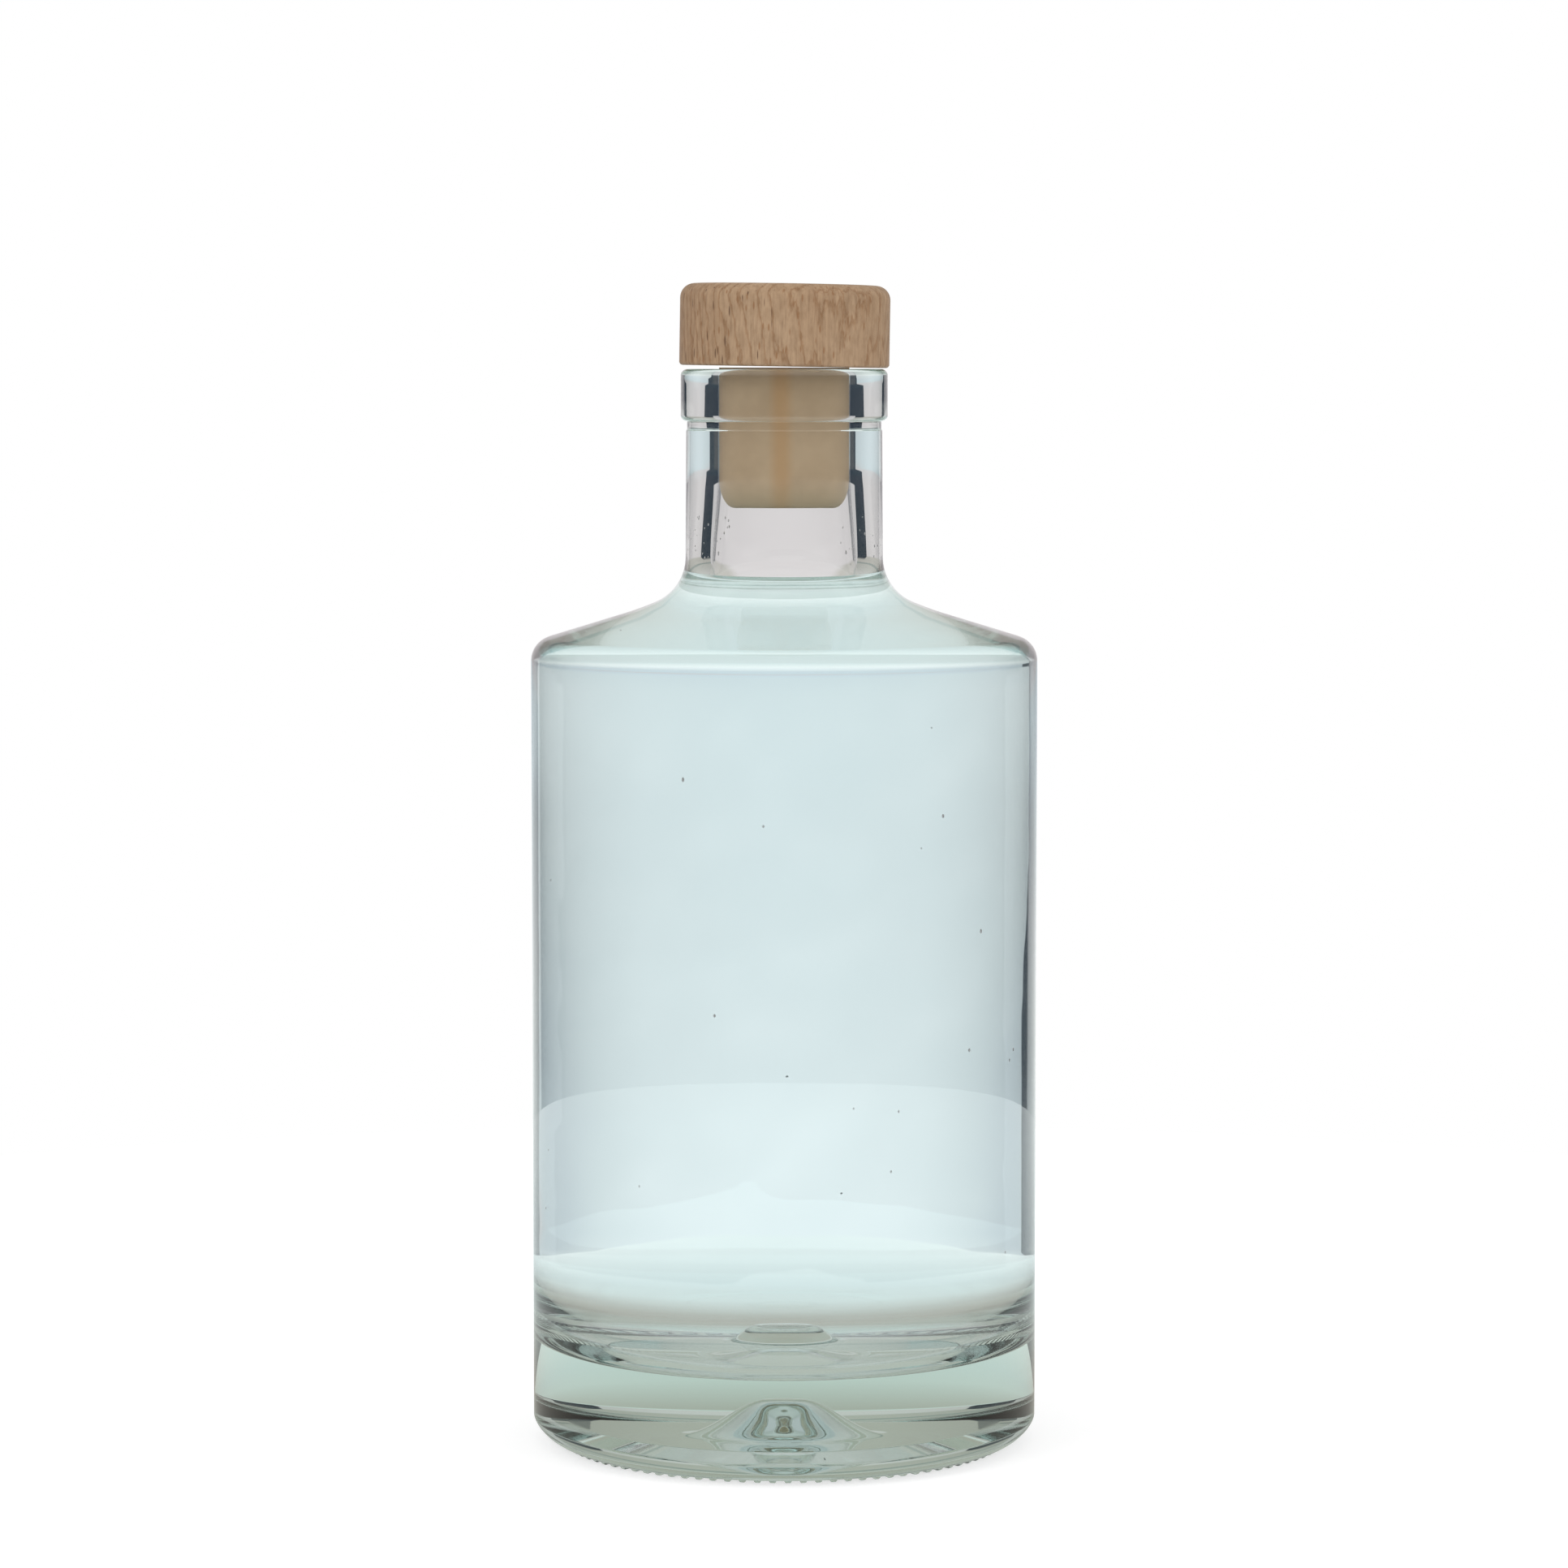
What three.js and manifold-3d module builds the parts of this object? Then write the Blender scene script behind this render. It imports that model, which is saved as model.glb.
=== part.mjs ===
// A round glass bottle with a heavy base, filled with a clear liquid and closed by a wooden-headed stopper.
// Millimetres, +Z up. The origin is on the bottle's axis, on the surface that the bottle stands on.

import * as THREE from "three";
import { mergeVertices, toCreasedNormals } from "three/addons/utils/BufferGeometryUtils.js";
import Module from "manifold-3d";

const wasm = await Module();
wasm.setup();

// Glass, outside
const glassHeight = 151;
const bodyRadius = 35.5;
const heelHeight = 3.2;
const heelWidth = 3.5;
const heelExponent = 1.5; // 1 would be a straight chamfer, 2 an ellipse
const shoulderStart = 112.8; // height of the sharp corner between wall and shoulder
const shoulderCornerRadius = 3.4;
const shoulderAngle = THREE.MathUtils.degToRad(17.1);
const upperShoulderRadius = 20.5; // inside this radius the shoulder is steeper
const upperShoulderAngle = THREE.MathUtils.degToRad(22.5);
const upperShoulderBlend = 46;
const neckFootRadius = 13.85;
const neckFootFillet = 6.9;
const neckTopRadius = 13.72;

// Ring of the cork finish, and the step that the neck ring of the mould leaves under it
const finishRadius = 14.47;
const finishHeight = 7.1;
const finishTopRounding = 0.9;
const finishBottomRounding = 0.8;
const stepDepth = 0.13;
const stepHeight = 1.3;

// Glass, inside
const boreRadius = 9.25;
const boreRounding = 0.8;
const wallThickness = 2.4;
const straightBoreDepth = 15.5; // below this depth the bore widens
const boreBlend = 40;
const boreFootRadius = 10.5;
const insideNeckFillet = 9;
const shoulderThickness = 1.9;
const insideShoulderRadius = 2.5;
const floorHeight = 13.5;
const floorCornerRadius = 12;
const floorDomeRise = 0.4;

// Underside: a knurled bearing ring round a recess, with a small push-up in the middle
const knurlHeight = 0.35;
const knurlCount = 96;
const knurlWidth = 0.7;
const knurlLength = 2.3;
const knurlFlank = 0.2;
const knurlRoot = 0.3; // how far a bar runs up into the ring, so that it is one with it
const bearingWidth = 2.6;
const bearingRounding = 0.6;
const recessHeight = 3.4;
const recessFlank = 9.5;
const recessRounding = 1.2;
const recessRise = 0.2;
const pushUpTop = 1.5; // radius of its level top
const pushUpFoot = 9.5;
const pushUpRise = 5.1;
const floorMoundTop = 3.2;
const floorMoundFoot = 6;
const floorMoundRise = 3.3;

// Liquid
const fillDepth = 30.2; // from the rim down to the liquid's surface

// Stopper
const headRadius = 14.68;
const headHeight = 11.4;
const headTopRounding = 2;
const headBottomRounding = 0.5;
const headTilt = THREE.MathUtils.degToRad(0.9); // the head is glued on slightly out of square
const plugDepth = 19.2; // how far the plug reaches below the rim
const plugNoseWidth = 2.2;
const plugNoseHeight = 4;
const tenonRadius = 4.5;
const tenonHeight = 6;

// Clearances between the pieces
const plugClearance = 0.15;
const headGap = 0.35; // from the rim to the middle of the head
const seatGap = 0.3; // where one piece rests on or in another

// Facets
const arcStep = THREE.MathUtils.degToRad(30);
const glassFacets = 56;
const smallFacets = 36;

// Sizes that follow from the ones above
const insideRadius = bodyRadius - wallThickness;
const bearingRadius = bodyRadius - heelWidth;
const bearingInner = bearingRadius - bearingWidth;
const recessRadius = bearingInner - recessFlank;
const floorRadius = insideRadius - floorCornerRadius;
const plugRadius = boreRadius - plugClearance;
const fillHeight = glassHeight - fillDepth;

// Points along a profile whose corners [radius, height, rounding] are rounded by tangent arcs.
function roundedProfile(corners) {
  const points = [];
  corners.forEach(([x, y, rounding = 0], index) => {
    const corner = new THREE.Vector2(x, y);
    if (!rounding) {
      points.push(corner);
      return;
    }
    const before = new THREE.Vector2(...corners[index - 1]).sub(corner);
    const after = new THREE.Vector2(...corners[index + 1]).sub(corner);
    const room = 0.5 * Math.min(before.length(), after.length());
    before.normalize();
    after.normalize();
    const half = 0.5 * Math.acos(THREE.MathUtils.clamp(before.dot(after), -1, 1));
    const radius = Math.min(rounding, room * 1.96 * Math.tan(half));
    const centre = before.clone().add(after).setLength(radius / Math.sin(half)).add(corner);
    const start = before.clone().setLength(radius / Math.tan(half)).add(corner);
    const sweep = Math.sign(before.cross(after)) * (2 * half - Math.PI);
    const steps = Math.max(1, Math.ceil(Math.abs(sweep) / arcStep));
    for (let step = 0; step <= steps; step++) {
      points.push(start.clone().rotateAround(centre, (sweep * step) / steps));
    }
  });
  return points;
}

// A smooth bump of revolution: full rise on the axis, level again at its edge.
function bell(radius, edge, rise) {
  return radius < edge ? (rise * (1 + Math.cos((Math.PI * radius) / edge))) / 2 : 0;
}

// A mound of revolution: level out to its top radius, then down in a smooth step to its foot.
function mound(radius, { top, foot, rise }) {
  return rise * (1 - THREE.MathUtils.smoothstep(radius, top, foot));
}

// Profile of the bottom from the axis out to its edge: a shallow dome with a mound in the middle.
function domedBottom(edge, height, domeRise, middle) {
  const moundSteps = 5;
  const domeSteps = 2;
  const radii = [0];
  for (let step = 0; step < moundSteps; step++) {
    radii.push(middle.top + ((middle.foot - middle.top) * step) / moundSteps);
  }
  for (let step = 0; step <= domeSteps; step++) {
    radii.push(middle.foot + ((edge - middle.foot) * step) / domeSteps);
  }
  return radii.map((radius) => [
    radius,
    height + bell(radius, edge, domeRise) + mound(radius, middle),
  ]);
}

// Height of the shoulder's outside at a radius, as straight lines before its corners are rounded.
function shoulderHeight(radius) {
  const upperStart = shoulderStart + (bodyRadius - upperShoulderRadius) * Math.tan(shoulderAngle);
  return radius > upperShoulderRadius
    ? shoulderStart + (bodyRadius - radius) * Math.tan(shoulderAngle)
    : upperStart + (upperShoulderRadius - radius) * Math.tan(upperShoulderAngle);
}

// The heel's profile, from the bearing ring out to the wall.
function heelProfile() {
  const steps = 4;
  const corners = [];
  for (let step = 0; step <= steps; step++) {
    const angle = (0.5 * Math.PI * step) / steps;
    const out = Math.sin(angle) ** (2 / heelExponent);
    const down = step < steps ? Math.cos(angle) ** (2 / heelExponent) : 0;
    corners.push([
      bodyRadius - heelWidth * (1 - out),
      knurlHeight + heelHeight * (1 - down),
    ]);
  }
  return corners;
}

// The inside of the glass from the axis, along the floor and up to the bore, moved inwards by a gap.
function insideCorners(gap) {
  const wall = insideRadius - gap;
  const middle = { top: floorMoundTop, foot: floorMoundFoot, rise: floorMoundRise };
  const drop = (shoulderThickness + gap) / Math.cos(shoulderAngle);
  return [
    ...domedBottom(floorRadius, floorHeight + gap, floorDomeRise, middle),
    [wall, floorHeight + gap, floorCornerRadius - gap],
    [wall, shoulderHeight(wall) - drop, insideShoulderRadius - gap],
    [upperShoulderRadius, shoulderHeight(upperShoulderRadius) - drop, upperShoulderBlend],
    [boreFootRadius - gap, shoulderHeight(boreFootRadius) - drop, insideNeckFillet + gap],
    [boreRadius - gap, glassHeight - straightBoreDepth, boreBlend],
  ];
}

// The outside of the glass from the middle of the underside up to the rim.
function outsideCorners() {
  const ringBottom = glassHeight - finishHeight;
  const stepBottom = ringBottom - stepHeight;
  const stepRadius = neckTopRadius - stepDepth;
  const middle = { top: pushUpTop, foot: pushUpFoot, rise: pushUpRise };
  return [
    ...domedBottom(recessRadius - recessRounding, recessHeight, recessRise, middle),
    [recessRadius, recessHeight, recessRounding],
    [bearingInner, knurlHeight, bearingRounding],
    ...heelProfile(),
    [bodyRadius, shoulderHeight(bodyRadius), shoulderCornerRadius],
    [upperShoulderRadius, shoulderHeight(upperShoulderRadius), upperShoulderBlend],
    [neckFootRadius, shoulderHeight(neckFootRadius), neckFootFillet],
    [neckTopRadius, stepBottom - stepDepth],
    [stepRadius, stepBottom],
    [stepRadius, ringBottom - stepDepth],
    [finishRadius, ringBottom, finishBottomRounding],
    [finishRadius, glassHeight, finishTopRounding],
  ];
}

// A solid of revolution about Z from a profile that starts and ends on the axis.
function turned(points, facets) {
  return new THREE.LatheGeometry(points, facets).rotateX(Math.PI / 2);
}

function toManifold(geometry) {
  const bare = geometry.clone().deleteAttribute("normal").deleteAttribute("uv");
  const merged = mergeVertices(bare, 1e-4);
  return new wasm.Manifold(
    new wasm.Mesh({
      numProp: 3,
      vertProperties: new Float32Array(merged.attributes.position.array),
      triVerts: new Uint32Array(merged.index.array),
    }),
  );
}

function fromManifold(solid) {
  const mesh = solid.getMesh();
  const geometry = new THREE.BufferGeometry();
  geometry.setAttribute("position", new THREE.BufferAttribute(mesh.vertProperties, 3));
  geometry.setIndex(new THREE.BufferAttribute(mesh.triVerts, 1));
  return toCreasedNormals(geometry, THREE.MathUtils.degToRad(30));
}

// One bar of the knurled ring, lying along +X, with a flat foot at height 0.
function knurlBar() {
  const foot = knurlWidth / 2;
  const root = foot + knurlFlank;
  const section = new THREE.Shape();
  section.moveTo(-foot, 0);
  section.lineTo(foot, 0);
  section.lineTo(root, knurlHeight + knurlRoot);
  section.lineTo(-root, knurlHeight + knurlRoot);
  section.closePath();
  const inner = bearingRadius - knurlLength;
  return new THREE.ExtrudeGeometry(section, { depth: knurlLength, bevelEnabled: false })
    .rotateX(Math.PI / 2)
    .rotateZ(Math.PI / 2)
    .translate(inner, 0, 0);
}

function glassGeometry() {
  const rim = [
    [boreRadius, glassHeight, boreRounding],
    ...insideCorners(0).reverse(),
  ];
  const profile = roundedProfile([...outsideCorners(), ...rim]);
  let glass = toManifold(turned(profile, glassFacets));
  for (let bar = 0; bar < knurlCount; bar++) {
    const turn = (2 * Math.PI * bar) / knurlCount;
    glass = glass.add(toManifold(knurlBar().rotateZ(turn)));
  }
  return fromManifold(glass);
}

// The liquid fills the inside up to the fill height, where its surface is level.
function liquidGeometry() {
  const corners = [...insideCorners(seatGap), [boreRadius - seatGap, glassHeight]];
  const wetted = roundedProfile(corners);
  const above = wetted.findIndex((point) => point.y > fillHeight);
  const [low, high] = [wetted[above - 1], wetted[above]];
  const edge = low.clone().lerp(high, (fillHeight - low.y) / (high.y - low.y));
  const profile = [...wetted.slice(0, above), edge, new THREE.Vector2(0, fillHeight)];
  return turned(profile, smallFacets);
}

// The head's underside is at height 0, with a blind hole for the plug's tenon.
function headGeometry() {
  const holeRadius = tenonRadius + seatGap;
  const holeDepth = tenonHeight + seatGap;
  const profile = roundedProfile([
    [0, holeDepth],
    [holeRadius, holeDepth],
    [holeRadius, 0],
    [headRadius, 0, headBottomRounding],
    [headRadius, headHeight, headTopRounding],
    [0, headHeight],
  ]);
  return turned(profile, smallFacets);
}

// The plug hangs below the head, with its nose rounded so that it finds the bore.
function plugGeometry() {
  const bottom = -plugDepth - headGap;
  const steps = 5;
  const nose = [];
  for (let step = 0; step <= steps; step++) {
    const angle = (0.5 * Math.PI * step) / steps;
    nose.push([
      plugRadius - plugNoseWidth * (1 - Math.sin(angle)),
      bottom + plugNoseHeight * (1 - Math.cos(angle)),
    ]);
  }
  const profile = roundedProfile([
    [0, bottom],
    ...nose,
    [plugRadius, -seatGap],
    [tenonRadius, -seatGap],
    [tenonRadius, tenonHeight],
    [0, tenonHeight],
  ]);
  return turned(profile, smallFacets);
}

const clearGlass = new THREE.MeshStandardMaterial({
  color: 0xbfe0dc,
  roughness: 0.03,
  metalness: 0,
  transparent: true,
  opacity: 0.4,
});
const clearLiquid = new THREE.MeshStandardMaterial({
  color: 0xdcebf2,
  roughness: 0.02,
  metalness: 0,
  transparent: true,
  opacity: 0.3,
});
const beech = new THREE.MeshStandardMaterial({ color: 0xcba684, roughness: 0.62, metalness: 0 });
const syntheticCork = new THREE.MeshStandardMaterial({
  color: 0xd2bd97,
  roughness: 0.7,
  metalness: 0,
});

function piece(name, geometry, material) {
  const mesh = new THREE.Mesh(geometry, material);
  mesh.name = name;
  return mesh;
}

const stopperHead = piece("stopper_head", headGeometry(), beech);
stopperHead.rotation.y = headTilt;

const stopper = new THREE.Group();
stopper.position.z = glassHeight + headGap;
stopper.add(stopperHead, piece("stopper_plug", plugGeometry(), syntheticCork));

const bottle = new THREE.Group();
bottle.add(
  piece("glass_bottle", glassGeometry(), clearGlass),
  piece("liquid", liquidGeometry(), clearLiquid),
  stopper,
);

export default bottle;
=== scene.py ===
# %% [markdown]
# This lesson builds a glass bottle of clear liquid, closed by a stopper with a wooden head. The
# bottle stands on a pale floor in a white studio. Its four pieces are the blown glass, the liquid
# in it, the stopper's turned beech head and the stopper's plug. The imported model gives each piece
# its place and size, and this script gives each one a finer surface and its finish.

# %% Load the fixed frame
import math
import random

import bpy
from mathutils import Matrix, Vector


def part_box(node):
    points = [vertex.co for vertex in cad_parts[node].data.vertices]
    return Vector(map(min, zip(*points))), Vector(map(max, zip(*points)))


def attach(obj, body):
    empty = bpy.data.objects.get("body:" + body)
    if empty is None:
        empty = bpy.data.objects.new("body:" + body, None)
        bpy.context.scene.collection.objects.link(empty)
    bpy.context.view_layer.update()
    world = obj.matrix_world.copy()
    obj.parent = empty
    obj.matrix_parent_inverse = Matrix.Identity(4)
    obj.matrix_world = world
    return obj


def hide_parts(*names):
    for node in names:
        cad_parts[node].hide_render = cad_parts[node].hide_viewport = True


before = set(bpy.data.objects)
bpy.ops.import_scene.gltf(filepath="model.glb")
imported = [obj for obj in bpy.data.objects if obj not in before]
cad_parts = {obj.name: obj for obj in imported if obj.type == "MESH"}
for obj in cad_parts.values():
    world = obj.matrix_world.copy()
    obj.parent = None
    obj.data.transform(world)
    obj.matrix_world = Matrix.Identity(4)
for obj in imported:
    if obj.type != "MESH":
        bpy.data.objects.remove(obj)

scene = bpy.context.scene
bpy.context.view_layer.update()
print("pieces in the frame:", sorted(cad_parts))

# %% [markdown]
# Blender works in metres, and a bottle is easier to think of in millimetres, so MM turns one into
# the other. The outer sizes could be written here a second time. They are read from the frame
# instead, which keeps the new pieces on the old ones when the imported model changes.

# %% Sizes read from the frame
MM = 0.001
_, glass_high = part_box("glass_bottle")
_, liquid_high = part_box("liquid")
head_low, head_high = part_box("stopper_head")
plug_low, plug_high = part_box("stopper_plug")

BODY = glass_high.x / MM
RIM = glass_high.z / MM
FILL = liquid_high.z / MM
PLUG_FOOT = plug_low.z / MM
PLUG = plug_high.x / MM
print("body radius", round(BODY, 2), "rim height", round(RIM, 2), "filled to", round(FILL, 2))
print("head from", round(head_low.z / MM, 2), "to", round(head_high.z / MM, 2))

# %% [markdown]
# The photograph was taken with a long lens, level with the rim and tilted down a little. A short
# lens close by would frame the bottle too, but its sides would lean together. The long lens keeps
# them straight, and the tilt shows the ellipse of the base.

# %% Camera
CAMERA_DISTANCE = 0.720
CAMERA_HEIGHT = 0.151
CAMERA_SIDE = -0.00003
CAMERA_TILT = math.radians(4.62)
LENS = 117.9

camera_data = bpy.data.cameras.new("camera")
camera_data.lens = LENS
camera_data.sensor_width = 36
camera_data.clip_start = 0.01
camera = bpy.data.objects.new("camera", camera_data)
scene.collection.objects.link(camera)
camera.location = (CAMERA_SIDE, -CAMERA_DISTANCE, CAMERA_HEIGHT)
camera.rotation_euler = (math.pi / 2 - CAMERA_TILT, 0, 0)
scene.camera = camera
scene.view_settings.view_transform = "Standard"
print("camera at", tuple(round(v, 3) for v in camera.location))

# %% [markdown]
# A material is a little network of nodes, which could be joined by hand in the shader editor. In a
# script, helpers that add a node, set its sockets and join two of them let each finish below read
# as a short list of steps.

# %% Helpers that add nodes
def new_material(name):
    material = bpy.data.materials.new(name)
    material.use_nodes = True
    material.node_tree.nodes.clear()
    return material


def add_node(tree, kind, **sockets):
    node = tree.nodes.new(kind)
    for name, value in sockets.items():
        node.inputs[name.replace("_", " ")].default_value = value
    return node


def math_node(tree, operation, first, second=None):
    node = tree.nodes.new("ShaderNodeMath")
    node.operation = operation
    for index, value in enumerate((first, second)):
        if value is None:
            continue
        if isinstance(value, (int, float)):
            node.inputs[index].default_value = value
        else:
            tree.links.new(value, node.inputs[index])
    return node.outputs[0]


print("helpers: new_material, add_node, math_node")

# %% Helpers that change a value
def between(tree, value, low, high, smooth=False):
    """How far a value has come from low to high, from 0 to 1, evenly or with soft ends."""
    node = tree.nodes.new("ShaderNodeMapRange")
    node.interpolation_type = "SMOOTHSTEP" if smooth else "LINEAR"
    node.inputs["From Min"].default_value = low
    node.inputs["From Max"].default_value = high
    tree.links.new(value, node.inputs["Value"])
    return node.outputs["Result"]


def smooth_step(tree, value, low, high):
    return between(tree, value, low, high, smooth=True)


def mix_values(tree, share, first, second):
    node = tree.nodes.new("ShaderNodeMix")
    node.data_type = "FLOAT"
    for socket, value in ((0, share), (2, first), (3, second)):
        tree.links.new(value, node.inputs[socket])
    return node.outputs[0]


print("helpers: between, smooth_step, mix_values")

# %% Helpers that change a colour
def mix_colours(tree, share, first, second, blend="MIX"):
    node = tree.nodes.new("ShaderNodeMix")
    node.data_type = "RGBA"
    node.blend_type = blend
    for socket, value in ((0, share), (6, first), (7, second)):
        if isinstance(value, (int, float, tuple)):
            node.inputs[socket].default_value = value
        else:
            tree.links.new(value, node.inputs[socket])
    return node.outputs[2]


def colour_ramp(tree, value, stops):
    """A colour that runs through the stops (input, colour)."""
    low, high = stops[0][0], stops[-1][0]
    node = tree.nodes.new("ShaderNodeValToRGB")
    ramp = node.color_ramp
    while len(ramp.elements) < len(stops):
        ramp.elements.new(0.5)
    for element, (place, colour) in zip(ramp.elements, stops):
        element.position = (place - low) / (high - low)
        element.color = (*colour, 1)
    tree.links.new(between(tree, value, low, high), node.inputs["Fac"])
    return node.outputs["Color"]


def curve(tree, value, stops):
    """A value that runs through the stops (input, output), in straight lines."""
    top = max(out for _, out in stops)
    shades = [(place, (out / top, out / top, out / top)) for place, out in stops]
    return math_node(tree, "MULTIPLY", colour_ramp(tree, value, shades), top)


print("helpers: mix_colours, colour_ramp, curve")

# %% Rays that the glass has turned
def bent_rays(tree):
    """Picks the rays that glass bends or reflects, until they light something matt."""
    path = tree.nodes.new("ShaderNodeLightPath")
    kinds = [path.outputs[name] for name in ("Is Transmission Ray", "Is Glossy Ray")]
    bent = math_node(tree, "MAXIMUM", *kinds)
    before_matt = math_node(tree, "LESS_THAN", path.outputs["Diffuse Depth"], 0.5)
    return math_node(tree, "MULTIPLY", bent, before_matt)


print("helper: bent_rays")

# %% [markdown]
# Clear glass has no look of its own: it shows what stands behind and beside it. A studio could be
# built of white cards and black flags, each with its own lamp. Here the world's colours are worked
# out from the direction of each ray instead, which is quick to render and easy to tune. The camera
# sees plain white. Rays that the glass bends or reflects see a backdrop, which is brightest a
# little below level and darkens upwards and to the sides. Dark screens stand beside it, which turn
# pale low down and high up, and a narrow dark gap lies between the two and draws dark lines in the
# glass. Reflections see only the middle of the backdrop, so that no bright side is mirrored.

# %% Colours of the studio
ROOM_LIGHT = 0.80
GAP_COLOUR = (0.015, 0.028, 0.045, 1)
UNLIT_COLOUR = (0.05, 0.055, 0.06, 1)
SCREEN_COLOUR = (0.06, 0.065, 0.075, 1)
LOW_SCREEN_COLOUR = (0.60, 0.61, 0.62, 1)
HIGH_SCREEN_COLOUR = (0.60, 0.58, 0.59, 1)

# where each of them starts and is whole, in degrees to the side or above level
SCREEN_START = (56, 57.5)
LOW_SCREEN = (-5, -8)
HIGH_SCREEN = (1, 3)
GAP_EDGE = (0.8, -0.2)
GAP_TOP = (14, 10)
UNLIT_START = (30, 34)
UNLIT_TOP = (20, 8)

# colours of the backdrop, by degrees above or below level
BACKDROP = [
    (-20.0, (0.74, 0.82, 0.80)),
    (-10.6, (0.80, 0.87, 0.86)),
    (-9.9, (0.84, 0.93, 0.92)),
    (-8.6, (0.96, 1.02, 1.01)),
    (-7.5, (1.04, 1.09, 1.07)),
    (-6.4, (1.03, 1.07, 1.08)),
    (-5.0, (0.88, 0.95, 0.97)),
    (-4.2, (0.78, 0.86, 0.91)),
    (-3.2, (0.75, 0.85, 0.90)),
    (-2.9, (0.78, 0.76, 0.78)),
    (0.6, (0.79, 0.75, 0.76)),
    (7.5, (0.79, 0.75, 0.76)),
    (9.5, (0.58, 0.56, 0.52)),
    (16.4, (0.60, 0.58, 0.54)),
    (17.2, (0.36, 0.40, 0.38)),
    (18.8, (0.36, 0.40, 0.38)),
    (19.8, (0.58, 0.58, 0.54)),
    (40.0, (0.62, 0.62, 0.60)),
]

# how much of the backdrop's light is left, by degrees to the side
FALL_OFF = [(0, 1.0), (16, 0.98), (32, 0.87), (41, 0.81), (50, 0.75), (90, 0.75)]

# where the dark gap starts and ends beside the backdrop: height, then right and left, in degrees
DARK_GAP = [
    (-20.0, (56.8, 56.8), (55.0, 55.0)),
    (-8.5, (56.8, 56.8), (54.9, 55.5)),
    (-6.5, (56.5, 57.0), (54.3, 56.3)),
    (-5.0, (55.6, 57.4), (53.6, 56.8)),
    (-4.4, (54.6, 57.4), (46.5, 57.0)),
    (-2.8, (54.6, 57.4), (46.5, 57.0)),
    (-2.3, (38.0, 90.0), (38.0, 90.0)),
    (0.5, (37.0, 90.0), (37.0, 90.0)),
    (3.0, (35.5, 57.0), (35.5, 57.0)),
    (9.0, (35.0, 57.0), (35.0, 57.0)),
    (12.0, (40.0, 57.0), (40.0, 57.0)),
]

print("rows in the backdrop:", len(BACKDROP), "and in the dark gap:", len(DARK_GAP))

# %% Directions in the world
DEGREES = 180 / math.pi


def directions(tree):
    """How far a ray points to the right of straight back, and how far up, in degrees."""
    direction = tree.nodes.new("ShaderNodeTexCoord")
    parts = tree.nodes.new("ShaderNodeSeparateXYZ")
    tree.links.new(direction.outputs["Generated"], parts.inputs[0])
    turned = math_node(tree, "ARCTAN2", parts.outputs["X"], parts.outputs["Y"])
    turned = math_node(tree, "MULTIPLY", turned, DEGREES)
    lift = math_node(tree, "ARCSINE", parts.outputs["Z"])
    lift = math_node(tree, "MULTIPLY", lift, DEGREES)
    return turned, lift


print("helper: directions")

# %% Backdrop, screens and dark gap
def backdrop_and_screens(tree, across, lift):
    backdrop = tree.nodes.new("ShaderNodeVectorMath")
    backdrop.operation = "SCALE"
    tree.links.new(colour_ramp(tree, lift, BACKDROP), backdrop.inputs[0])
    tree.links.new(curve(tree, across, FALL_OFF), backdrop.inputs["Scale"])
    low = smooth_step(tree, lift, *LOW_SCREEN)
    high = smooth_step(tree, lift, *HIGH_SCREEN)
    screen = mix_colours(tree, low, SCREEN_COLOUR, LOW_SCREEN_COLOUR)
    screen = mix_colours(tree, high, screen, HIGH_SCREEN_COLOUR)
    on_screen = smooth_step(tree, across, *SCREEN_START)
    return mix_colours(tree, on_screen, backdrop.outputs[0], screen)


def in_dark_gap(tree, turned, across, lift):
    sides = []
    for side in (1, 2):
        middles = [(row[0], (row[side][0] + row[side][1]) / 2) for row in DARK_GAP]
        halves = [(row[0], (row[side][1] - row[side][0]) / 2) for row in DARK_GAP]
        sides.append((curve(tree, lift, middles), curve(tree, lift, halves)))
    on_left = math_node(tree, "LESS_THAN", turned, 0)
    middle, half = (mix_values(tree, on_left, right, left) for right, left in zip(*sides))
    off_middle = math_node(tree, "ABSOLUTE", math_node(tree, "SUBTRACT", across, middle))
    past_edge = math_node(tree, "SUBTRACT", off_middle, half)
    in_gap = smooth_step(tree, past_edge, *GAP_EDGE)
    return math_node(tree, "MULTIPLY", in_gap, smooth_step(tree, lift, *GAP_TOP))


print("helpers: backdrop_and_screens, in_dark_gap")

# %% World
def build_world():
    world = bpy.data.worlds.new("studio")
    world.use_nodes = True
    scene.world = world
    tree = world.node_tree
    tree.nodes.clear()
    turned, lift = directions(tree)
    across = math_node(tree, "ABSOLUTE", turned)
    shading = backdrop_and_screens(tree, across, lift)
    shading = mix_colours(tree, in_dark_gap(tree, turned, across, lift), shading, GAP_COLOUR)

    # reflections see only the middle of the backdrop
    path = tree.nodes.new("ShaderNodeLightPath")
    aside = smooth_step(tree, across, *UNLIT_START)
    unlit = math_node(tree, "MULTIPLY", aside, smooth_step(tree, lift, *UNLIT_TOP))
    unlit = math_node(tree, "MULTIPLY", unlit, path.outputs["Is Reflection Ray"])
    shading = mix_colours(tree, unlit, shading, UNLIT_COLOUR)

    plain = (ROOM_LIGHT, ROOM_LIGHT, ROOM_LIGHT, 1)
    colour = mix_colours(tree, bent_rays(tree), plain, shading)
    colour = mix_colours(tree, path.outputs["Is Camera Ray"], colour, (1, 1, 1, 1))
    background = tree.nodes.new("ShaderNodeBackground")
    output = tree.nodes.new("ShaderNodeOutputWorld")
    tree.links.new(colour, background.inputs["Color"])
    tree.links.new(background.outputs[0], output.inputs["Surface"])


build_world()
print("world:", scene.world.name)

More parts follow.
